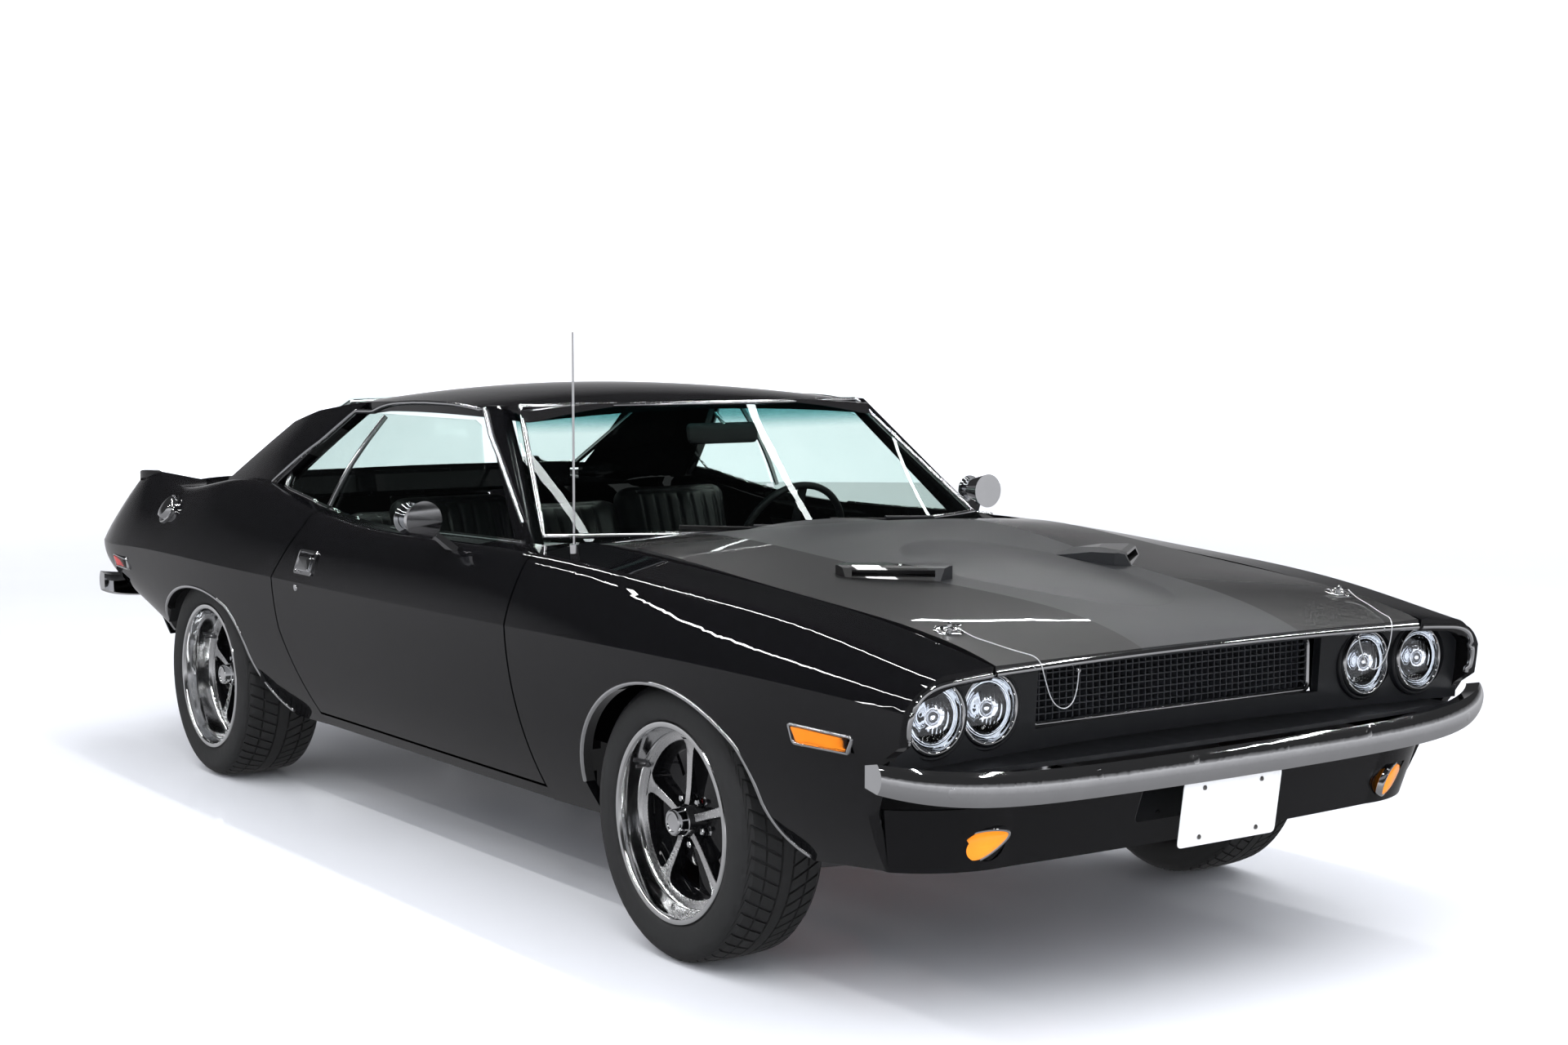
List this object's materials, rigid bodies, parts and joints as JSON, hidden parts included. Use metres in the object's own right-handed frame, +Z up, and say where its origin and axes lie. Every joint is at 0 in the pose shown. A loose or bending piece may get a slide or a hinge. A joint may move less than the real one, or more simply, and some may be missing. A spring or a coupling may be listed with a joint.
{
  "type": "muscle car",
  "caption": "Two-door hardtop muscle coupe with opening doors, hood and deck lid, steered front wheels, a hollow cabin and trunk.",
  "frame": {"origin": "on the floor under the middle of the overall length and width, level with the tyres' contact", "axes": "+X towards the nose, +Y towards the car's left, +Z up"},
  "size_m": [4.86, 2.048, 1.458],
  "materials": {
    "body_paint": "gloss",
    "satin_paint": "satin",
    "under_paint": "matte",
    "glass": "polished",
    "lamp_clear": "polished",
    "lamp_amber": "polished",
    "lamp_red": "polished",
    "chrome": "polished",
    "tyre": "matte",
    "wheel_metal": "polished",
    "cast": "matte",
    "steel": "satin",
    "grille_plastic": "matte",
    "dash_plastic": "matte",
    "vinyl": "satin"
  },
  "bodies": {
    "car_body": {"antenna": "chrome", "cowl": "body_paint", "dashboard": "dash_plastic", "engine": "cast", "engine_bay_sides": "under_paint", "exhaust": "steel", "fender_left": "body_paint", "fender_right": "body_paint", "floor_pan": "under_paint", "front_bumper": "chrome", "front_panel": "satin_paint", "front_pillars": "body_paint", "front_suspension": "cast", "front_valance": "satin_paint", "fuel_cap": "chrome", "fuel_tank": "steel", "grille": "grille_plastic", "headlamps": "lamp_clear", "leaf_springs": "cast", "parking_lamps": "lamp_amber", "quarter_glass": "glass", "quarter_left": "body_paint", "quarter_right": "body_paint", "rear_axle": "cast", "rear_bumper": "chrome", "rear_panel": "satin_paint", "rear_seat": "vinyl", "rear_valance": "satin_paint", "rear_wheel_housings": "under_paint", "rear_window": "glass", "rockers": "body_paint", "roof_panel": "body_paint", "seat_left": "vinyl", "seat_right": "vinyl", "side_markers_front": "lamp_amber", "side_markers_rear": "lamp_red", "steering_column": "dash_plastic", "tail_lamps": "lamp_red", "tulip_panel": "body_paint", "windshield": "glass"},
    "door_left": {"door_left": "body_paint", "door_glass_left": "glass", "mirror_left": "chrome"},
    "door_right": {"door_right": "body_paint", "door_glass_right": "glass", "mirror_right": "chrome"},
    "hood": {"hood": "body_paint"},
    "deck_lid": {"deck_lid": "body_paint"},
    "knuckle_left": {"knuckle_left": "cast"},
    "knuckle_right": {"knuckle_right": "cast"},
    "steering_wheel": {"steering_wheel": "dash_plastic"},
    "wheel_front_left": {"wheel_front_left": "wheel_metal", "tyre_front_left": "tyre"},
    "wheel_front_right": {"wheel_front_right": "wheel_metal", "tyre_front_right": "tyre"},
    "wheel_rear_left": {"wheel_rear_left": "wheel_metal", "tyre_rear_left": "tyre"},
    "wheel_rear_right": {"wheel_rear_right": "wheel_metal", "tyre_rear_right": "tyre"}
  },
  "joints": [
    {"name": "door_left_hinge", "type": "hinge", "parent": "car_body", "child": "door_left", "pos_m": [0.737, 0.931, 0.69], "axis": [0, 0, -1], "range_deg": [0, 65]},
    {"name": "door_right_hinge", "type": "hinge", "parent": "car_body", "child": "door_right", "pos_m": [0.737, -0.931, 0.69], "axis": [0, 0, 1], "range_deg": [0, 65]},
    {"name": "hood_hinge", "type": "hinge", "parent": "car_body", "child": "hood", "pos_m": [1.02, 0, 0.893], "axis": [0, -1, 0], "range_deg": [0, 50]},
    {"name": "deck_lid_hinge", "type": "hinge", "parent": "car_body", "child": "deck_lid", "pos_m": [-1.759, 0, 0.928], "axis": [0, 1, 0], "range_deg": [0, 70]},
    {"name": "steer_left", "type": "hinge", "parent": "car_body", "child": "knuckle_left", "pos_m": [1.485, 0.714, 0.328], "axis": [0, 0, 1], "range_deg": [-28, 28]},
    {"name": "steer_right", "type": "hinge", "parent": "car_body", "child": "knuckle_right", "pos_m": [1.485, -0.714, 0.328], "axis": [0, 0, 1], "range_deg": [-28, 28]},
    {"name": "steering_wheel_turn", "type": "hinge", "parent": "car_body", "child": "steering_wheel", "pos_m": [0.17, 0.395, 0.815], "axis": [-0.9397, 0, 0.342], "range_deg": [-440, 440]},
    {"name": "wheel_front_left_spin", "type": "hinge", "parent": "knuckle_left", "child": "wheel_front_left", "pos_m": [1.485, 0.78, 0.328], "axis": [0, 1, 0], "continuous": true},
    {"name": "wheel_rear_left_spin", "type": "hinge", "parent": "car_body", "child": "wheel_rear_left", "pos_m": [-1.309, 0.78, 0.328], "axis": [0, 1, 0], "continuous": true},
    {"name": "wheel_front_right_spin", "type": "hinge", "parent": "knuckle_right", "child": "wheel_front_right", "pos_m": [1.485, -0.78, 0.328], "axis": [0, 1, 0], "continuous": true},
    {"name": "wheel_rear_right_spin", "type": "hinge", "parent": "car_body", "child": "wheel_rear_right", "pos_m": [-1.309, -0.78, 0.328], "axis": [0, 1, 0], "continuous": true}
  ],
  "couplings": [
    {"joint": "steer_right", "follows": "steer_left", "ratio": 1},
    {"joint": "steering_wheel_turn", "follows": "steer_left", "ratio": 15.7}
  ]
}
